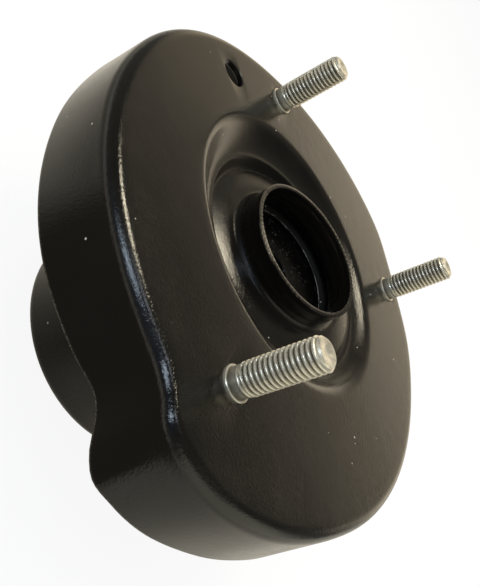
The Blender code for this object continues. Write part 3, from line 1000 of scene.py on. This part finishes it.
def coat_finish(name, look, roughness, pressed=False):
    """Black dip coat: glossy, a little wavy, dusty and flecked; the body's is rubbed along its free edge,
    has a painted highlight on a stretch of its rim, and painted shade in its corners and on the skirt's
    inside.
    """
    made, tree, shader = new_finish(name)
    film = use(tree, "dust_film", Scale=38.0, Sides=0.25)
    wear = use(tree, "edge_wear", Edge=0.57, Break=320.0)
    specks = use(tree, "flecks", Density=look.fleck_share, Scale=1100.0)["Mask"]
    place = place_in_metres(tree)
    grit = remap(tree, noise(tree, place, 2600.0, 2.0), 0.40, 0.72, 0.5, 2.2)
    dusty = product(tree, film["Mask"], grit, look.dust_share)
    colour = tint(tree, dusty, tuple(look.coat_colour), tuple(look.dust_colour))
    colour = tint(tree, product(tree, wear["Dirt"], 0.5), colour, DIRT_COLOUR)
    colour = tint(tree, product(tree, wear["Wear"], 0.4), colour, WORN_COAT_COLOUR)
    rough = total(
        tree,
        remap(tree, film["Cloud"], 0.0, 1.0, roughness - 0.03, roughness + 0.06),
        remap(tree, noise(tree, place, 1500.0, 2.0), 0.35, 0.65, -0.03, 0.05),
    )
    if pressed:
        # Rubbed coat along the free edge, and a painted highlight on a stretch of the rim.
        colour = tint(tree, product(tree, painted(tree, "rubbed_rim"), grit), colour, RUB_AND_HIGHLIGHT_COLOUR)
    colour = tint(tree, specks, colour, FLECK_COLOUR)
    if pressed:
        # Painted shade: the step, the collar's root and the skirt's inside are darkened and given less
        # gloss.
        corner = math_node(tree, "MAXIMUM", painted(tree, "corner_dirt"), skirt_inside_shade(tree))
        colour = tint(tree, corner, colour, CORNER_SHADE_COLOUR)
        rough = total(tree, rough, product(tree, corner, 0.3))
        feed(tree, shader["Specular IOR Level"], remap(tree, corner, 0.0, 1.0, 0.5, 0.08))
    feed(tree, shader["Base Color"], colour)
    rough = total(tree, rough, product(tree, specks, 0.4), product(tree, wear["Wear"], 0.1))
    feed(tree, shader["Roughness"], rough)
    height = use(tree, "coat_skin", Grain=1900.0, Waves=200.0)["Height"]
    bump(tree, shader, total(tree, height, product(tree, specks, 1.5)), 0.00006)
    return made


def zinc_finish(look):
    """Zinc plate with a pale yellow passivation, dull in the thread's roots, with painted shade darkening
    the roots and the neck.
    """
    made, tree, shader = new_finish("zinc_plate")
    wear = use(tree, "edge_wear", Edge=0.53, Break=500.0)
    film = use(tree, "dust_film", Scale=160.0, Sides=0.8)
    place = place_in_metres(tree)
    colour = tint(tree, noise(tree, place, 240.0, 3.0), tuple(look.zinc_colour), PASSIVATION_COLOUR)
    colour = tint(tree, product(tree, film["Mask"], 0.25), colour, ZINC_DUST_COLOUR)
    # Painted shade: the thread's roots and the neck are darkened.
    root = remap(tree, painted(tree, "thread_root"), 0.45, 1.0, 0.0, 0.9)
    colour = tint(tree, root, colour, THREAD_SHADE_COLOUR)
    colour = tint(tree, product(tree, wear["Wear"], 0.5), colour, WORN_ZINC_COLOUR)
    feed(tree, shader["Base Color"], colour)
    shader["Metallic"].default_value = 0.78
    rough = remap(tree, noise(tree, place, 900.0, 3.0), 0.3, 0.7, 0.24, 0.38)
    feed(tree, shader["Roughness"], total(tree, rough, product(tree, wear["Dirt"], 0.2)))
    bump(tree, shader, use(tree, "coat_skin", Grain=4000.0, Waves=900.0)["Height"], 0.000012)
    return made


def rubber_finish(look):
    """Moulded rubber: matt, grainy, with a faint bloom and a little grit."""
    made, tree, shader = new_finish("moulded_rubber")
    film = use(tree, "dust_film", Scale=70.0, Sides=0.5)
    specks = use(tree, "flecks", Density=0.9, Scale=900.0)["Mask"]
    bloom = product(tree, film["Mask"], 0.05)
    colour = tint(tree, bloom, tuple(look.rubber_colour), BLOOM_COLOUR)
    feed(tree, shader["Base Color"], tint(tree, specks, colour, RUBBER_FLECK_COLOUR))
    feed(tree, shader["Roughness"], remap(tree, film["Cloud"], 0.0, 1.0, 0.60, 0.85))
    shader["Specular IOR Level"].default_value = 0.06
    bump(tree, shader, use(tree, "coat_skin", Grain=2600.0, Waves=500.0)["Height"], 0.00004)
    return made


def seat_finish(look):
    """Phosphated steel, turned: fine rings round the tilted axis, nearly black, with a bare lip."""
    made, tree, shader = new_finish("phosphated_steel")
    frame_inverse = (Matrix.Translation(DATUM) @ TILTED).inverted()
    mapping = add(tree, "ShaderNodeMapping")
    feed(tree, mapping.inputs["Vector"], place_in_metres(tree))
    mapping.inputs["Location"].default_value = frame_inverse.to_translation()
    mapping.inputs["Rotation"].default_value = frame_inverse.to_euler()
    reach = vector_node(tree, "LENGTH", levelled(tree, mapping.outputs["Vector"]))["Value"]
    rings = add(tree, "ShaderNodeTexNoise", noise_dimensions="1D")
    feed(tree, rings.inputs["W"], reach)
    rings.inputs["Scale"].default_value = 5200.0
    film = use(tree, "dust_film", Scale=120.0, Sides=0.6)
    colour = tint(tree, film["Mask"], tuple(look.seat_colour), SEAT_DUST_COLOUR)
    lip_inside = SEAT_RADIUS - SEAT_LIP_WIDTH
    lip = remap(tree, reach, lip_inside + SEAT_LIP_WIDTH * 0.1, lip_inside + SEAT_LIP_WIDTH * 0.3)
    bare = product(tree, lip, remap(tree, film["Cloud"], 0.35, 0.65, 0.05, 0.8))
    specks = use(tree, "flecks", Density=0.8, Scale=1900.0)["Mask"]
    colour = tint(tree, product(tree, specks, 0.4), colour, SEAT_FLECK_COLOUR)
    feed(tree, shader["Base Color"], tint(tree, bare, colour, BARE_STEEL_COLOUR))
    feed(tree, shader["Metallic"], bare)
    feed(tree, shader["Roughness"], remap(tree, rings.outputs["Fac"], 0.3, 0.7, 0.34, 0.52))
    shader["Specular IOR Level"].default_value = 0.08
    bump(tree, shader, rings.outputs["Fac"], 0.00002)
    return made


def swatch(name, description, colour):
    """A colour that a user may change."""
    return bpy.props.FloatVectorProperty(
        name=name, description=description, default=colour, subtype="COLOR", size=3, min=0.0, max=1.0
    )


def share_of(name, description, value):
    """A share from nought to one that a user may change."""
    return bpy.props.FloatProperty(
        name=name, description=description, default=value, subtype="FACTOR", min=0.0, max=1.0
    )


def length_of(name, description, value, least=0.0):
    """A length that a user may change."""
    return bpy.props.FloatProperty(
        name=name, description=description, default=value, unit="LENGTH", precision=5, min=least
    )


def power_of(name, description, value):
    """A lamp's power that a user may change."""
    return bpy.props.FloatProperty(
        name=name, description=description, default=value, unit="POWER", min=0.0
    )


class StrutMountCoat(bpy.types.PropertyGroup):
    """Looks of the coated pressings."""
    coat_colour: swatch("Coat", "Colour of the dip coat", (0.0042, 0.0037, 0.0032))
    dust_colour: swatch("Dust", "Colour of the dust film on it", (0.085, 0.072, 0.056))
    dust_share: share_of("Dust Share", "How much of its colour the dust film gives", 0.035)
    fleck_share: share_of("Flecks", "How many light flecks lie on it", 0.02)
    shell_roughness: share_of("Body Roughness", "How dull the body's coat is", 0.11)
    cup_roughness: share_of("Cup Roughness", "How dull the cup's coat is", 0.20)


class StrutMountStuds(bpy.types.PropertyGroup):
    """Sizes and looks of the studs."""
    thread_pitch: length_of("Pitch", "Distance from one thread crest to the next", 0.00125, 0.0005)
    thread_depth: length_of("Thread Depth", "Height of the thread's crests over its roots", 0.00070)
    zinc_colour: swatch("Zinc", "Colour of the zinc plate", (0.90, 0.86, 0.74))


class StrutMountInsert(bpy.types.PropertyGroup):
    """Looks of the rubber isolator and the rod seat."""
    rubber_colour: swatch("Rubber", "Colour of the isolator", (0.012, 0.0115, 0.011))
    seat_colour: swatch("Seat", "Colour of the rod seat", (0.0013, 0.0012, 0.0011))


class StrutMountStudio(bpy.types.PropertyGroup):
    """Floor, lamps and camera."""
    floor_radius: length_of("Floor Radius", "Radius of the round floor", 3.0, 0.5)
    floor_colour: swatch("Floor", "Colour of the floor", (0.90, 0.90, 0.90))
    sky_strength: bpy.props.FloatProperty(
        name="Sky", description="Strength of the even light from all round", default=0.55, min=0.0
    )
    key_power: power_of("Key Lamp", "Power of the large lamp overhead", 9.0)
    warm_power: power_of("Warm Lamp", "Power of the lamp behind the mount", 5.0)
    top_power: power_of("Top Lamp", "Power of the small lamp overhead", 0.7)
    cool_power: power_of("Cool Lamp", "Power of the lamp in front of it", 3.0)
    focal_length: bpy.props.FloatProperty(
        name="Focal Length", description="Focal length of the camera's lens",
        default=44.24, unit="CAMERA", min=1.0
    )


SETTINGS = {
    "strut_mount_coat": StrutMountCoat,
    "strut_mount_studs": StrutMountStuds,
    "strut_mount_insert": StrutMountInsert,
    "strut_mount_studio": StrutMountStudio,
}


class MakeShell(bpy.types.Operator):
    """Make the pressed body in its glossy black coat"""
    bl_idname = "strut_mount.make_shell"
    bl_label = "Make Body"

    def execute(self, context):
        look = context.scene.strut_mount_coat
        finish = coat_finish("dip_coat", look, look.shell_roughness, pressed=True)
        place_piece(make_shell(), "upper_shell", finish)
        return {"FINISHED"}


class MakeCup(bpy.types.Operator):
    """Make the lower cup in its duller black coat"""
    bl_idname = "strut_mount.make_cup"
    bl_label = "Make Lower Cup"

    def execute(self, context):
        look = context.scene.strut_mount_coat
        finish = coat_finish("dip_coat_cup", look, look.cup_roughness)
        place_piece(make_cup(), "lower_cup", finish)
        return {"FINISHED"}


class MakeInsert(bpy.types.Operator):
    """Make the rubber isolator and the rod seat that it carries"""
    bl_idname = "strut_mount.make_insert"
    bl_label = "Make Isolator and Seat"

    def execute(self, context):
        look = context.scene.strut_mount_insert
        place_piece(make_isolator(), "rubber_isolator", rubber_finish(look))
        place_piece(make_seat(), "rod_seat", seat_finish(look))
        return {"FINISHED"}


class MakeStuds(bpy.types.Operator):
    """Make the three threaded studs"""
    bl_idname = "strut_mount.make_studs"
    bl_label = "Make Studs"

    def execute(self, context):
        look = context.scene.strut_mount_studs
        finish = zinc_finish(look)
        for index, bearing in enumerate(STUD_BEARINGS, 1):
            stud = make_stud(index, bearing, look.thread_pitch, look.thread_depth)
            place_piece(stud, f"stud_{index}", finish)
        return {"FINISHED"}


def seen_share(tree, path):
    """One for what the camera sees, straight or by way of a glossy or clear surface, else nought."""
    seen = math_node(tree, "MAXIMUM", path["Is Camera Ray"], path["Is Glossy Ray"])
    return math_node(tree, "MAXIMUM", seen, path["Is Transmission Ray"])


def light_sky(strength):
    """An even sky, white where the camera or a glossy surface sees it."""
    world = bpy.data.worlds.new("studio_sky")
    world.use_nodes = True
    tree = world.node_tree
    background = tree.nodes["Background"]
    seen = seen_share(tree, add(tree, "ShaderNodeLightPath").outputs)
    feed(tree, background.inputs["Strength"], remap(tree, seen, 0.0, 1.0, strength, 1.0))
    background.inputs["Color"].default_value = (*WHITE, 1.0)
    bpy.context.scene.world = world


def glow_over(tree, base, colour, share):
    """Lays an even glow over a shader by a mask, and makes that the material's surface."""
    glow = add(tree, "ShaderNodeEmission")
    feed(tree, glow.inputs["Color"], colour)
    mix = add(tree, "ShaderNodeMixShader")
    feed(tree, mix.inputs["Fac"], share)
    feed(tree, mix.inputs[1], base)
    feed(tree, mix.inputs[2], glow.outputs["Emission"])
    feed(tree, tree.nodes["Material Output"].inputs["Surface"], mix.outputs["Shader"])


def disc(radius):
    """A flat round form."""
    form = bmesh.new()
    bmesh.ops.create_circle(form, cap_ends=True, segments=DISC_SEGMENTS, radius=radius)
    return form


def stage_mesh(name, form, material):
    """A piece of the studio from a bmesh."""
    mesh = bpy.data.meshes.new(name)
    form.to_mesh(mesh)
    form.free()
    mesh.materials.append(material)
    made = bpy.data.objects.new(name, mesh)
    bpy.context.scene.collection.objects.link(made)
    return made


def gloss_only(card):
    """Lets only reflections see a card, so that it neither shows nor shades."""
    card.visible_camera = False
    card.visible_diffuse = False
    card.visible_transmission = False
    card.visible_shadow = False
    card.visible_volume_scatter = False


def facing_share(tree, direction, bearing, narrow, wide):
    """How far a direction's bearing agrees with another, from nought to one."""
    level = vector_node(tree, "NORMALIZE", levelled(tree, direction))["Vector"]
    agreement = vector_node(tree, "DOT_PRODUCT", level, toward(bearing, 0.0))["Value"]
    return remap(tree, agreement, wide, narrow)


def raise_tent():
    """A tent of soft-edged cards round the mount, over grey that darkens upwards."""
    made, tree, _ = new_finish("studio_cards")
    tree.nodes.remove(tree.nodes["Principled BSDF"])
    direction = vector_node(tree, "NORMALIZE", place_in_metres(tree))["Vector"]
    rise = part_of(tree, direction, "Z")
    colour = tint(tree, remap(tree, rise, *TENT_TOP), TENT_COLOUR, TENT_TOP_COLOUR)
    for bearing, narrow, wide, change, card in CARDS:
        share = facing_share(tree, direction, bearing, narrow, wide)
        colour = tint(tree, product(tree, share, remap(tree, rise, *change)), colour, card)
    glow = add(tree, "ShaderNodeEmission")
    feed(tree, glow.inputs["Color"], colour)
    feed(tree, tree.nodes["Material Output"].inputs["Surface"], glow.outputs["Emission"])
    form = bmesh.new()
    bmesh.ops.create_uvsphere(form, u_segments=TENT_COLUMNS, v_segments=TENT_ROWS, radius=TENT_RADIUS)
    below = [vert for vert in form.verts if vert.co.z < -0.01 * TENT_RADIUS]
    bmesh.ops.delete(form, geom=below, context="VERTS")
    gloss_only(stage_mesh("studio_cards", form, made))


def lay_mat():
    """A dark soft-edged mat before the mount, which the skirt mirrors."""
    made, tree, _ = new_finish("dark_mat")
    tree.nodes.remove(tree.nodes["Principled BSDF"])
    place = place_in_metres(tree)
    across = part_of(tree, place, "X")
    slant = math_node(tree, "SUBTRACT", part_of(tree, place, "Y"), product(tree, across, MAT_SLANT))
    near = product(tree, remap(tree, across, *MAT_ACROSS), remap(tree, slant, *MAT_ALONG))
    beside_cup = vector_node(tree, "DISTANCE", place, MAT_PALE_PLACE)["Value"]
    near = math_node(tree, "SUBTRACT", near, remap(tree, beside_cup, *MAT_PALE))
    share = math_node(tree, "MAXIMUM", near, remap(tree, across, *MAT_ASIDE))
    clear = add(tree, "ShaderNodeBsdfTransparent").outputs["BSDF"]
    glow_over(tree, clear, (*MAT_COLOUR, 1.0), share)
    mat = stage_mesh("dark_mat", disc(MAT_RADIUS), made)
    mat.location.z = MAT_HEIGHT
    gloss_only(mat)


def lay_floor(radius, colour):
    """A round, pale, matt floor under the mount, which glows a little so that its shadow stays soft."""
    made, tree, shader = new_finish("pale_floor")
    feed(tree, shader["Base Color"], (*colour, 1.0))
    shader["Roughness"].default_value = 0.9
    shader["Specular IOR Level"].default_value = 0.0
    path = add(tree, "ShaderNodeLightPath").outputs
    glow = tint(tree, path["Is Glossy Ray"], WHITE, FLOOR_MIRRORED_COLOUR)
    base = tree.nodes["Principled BSDF"].outputs["BSDF"]
    glow_over(tree, base, glow, product(tree, seen_share(tree, path), FLOOR_GLOW))
    stage_mesh("studio_floor", disc(radius), made)


def hang_lamp(name, bearing, height, distance, size, power, colour):
    """A soft lamp at a bearing and height round the mount, turned to it."""
    light = bpy.data.lights.new(name, "AREA")
    light.shape = "RECTANGLE"
    light.size, light.size_y = size
    light.energy = power
    light.color = colour
    lamp = bpy.data.objects.new(name, light)
    lamp.location = toward(bearing, height) * distance
    lamp.rotation_euler = toward(bearing, height).to_track_quat("Z", "Y").to_euler()
    bpy.context.scene.collection.objects.link(lamp)
    return lamp


def set_camera(focal_length):
    """The camera at the picture's angle, rolled as the picture is."""
    lens = bpy.data.cameras.new("picture_camera")
    lens.lens = focal_length
    lens.sensor_width = CAMERA_SENSOR
    lens.clip_start = CAMERA_NEAR
    camera = bpy.data.objects.new("picture_camera", lens)
    turn = Matrix(CAMERA_AXES).transposed().to_4x4()
    camera.matrix_world = Matrix.Translation(CAMERA_PLACE) @ turn
    bpy.context.scene.collection.objects.link(camera)
    bpy.context.scene.camera = camera


class SetStage(bpy.types.Operator):
    """Lay the floor, hang the lamps and set the camera"""
    bl_idname = "strut_mount.set_stage"
    bl_label = "Set Stage"

    def execute(self, context):
        look = context.scene.strut_mount_studio
        context.scene.view_settings.view_transform = "Standard"
        light_sky(look.sky_strength)
        lay_floor(look.floor_radius, tuple(look.floor_colour))
        raise_tent()
        lay_mat()
        for name, bearing, height, distance, size, colour, mirrored in LAMPS:
            power = getattr(look, f"{name}_power")
            lamp = hang_lamp(f"{name}_lamp", bearing, height, distance, size, power, colour)
            lamp.visible_glossy = mirrored
        set_camera(look.focal_length)
        return {"FINISHED"}


STEPS = (MakeShell, MakeCup, MakeInsert, MakeStuds, SetStage)


class StrutMountPanel(bpy.types.Panel):
    """Settings and steps of the strut mount"""
    bl_idname = "VIEW3D_PT_strut_mount"
    bl_label = "Strut Mount"
    bl_space_type = "VIEW_3D"
    bl_region_type = "UI"
    bl_category = "Strut Mount"

    def draw(self, context):
        for name, group in SETTINGS.items():
            box = self.layout.box()
            box.label(text=group.__doc__.rstrip("."))
            for field in group.__annotations__:
                box.prop(getattr(context.scene, name), field)
        for step in STEPS:
            self.layout.operator(step.bl_idname)


CLASSES = (*SETTINGS.values(), *STEPS, StrutMountPanel)


def register():
    """Makes the settings, steps and panel known."""
    for item in CLASSES:
        bpy.utils.register_class(item)
    for name, group in SETTINGS.items():
        setattr(bpy.types.Scene, name, bpy.props.PointerProperty(type=group))


def unregister():
    """Takes the settings, steps and panel out again."""
    for name in SETTINGS:
        delattr(bpy.types.Scene, name)
    for item in reversed(CLASSES):
        bpy.utils.unregister_class(item)


def main():
    """Builds the mount and its stage."""
    register()
    for step in STEPS:
        group, name = step.bl_idname.split(".")
        getattr(getattr(bpy.ops, group), name)()


if __name__ == "__main__":
    main()
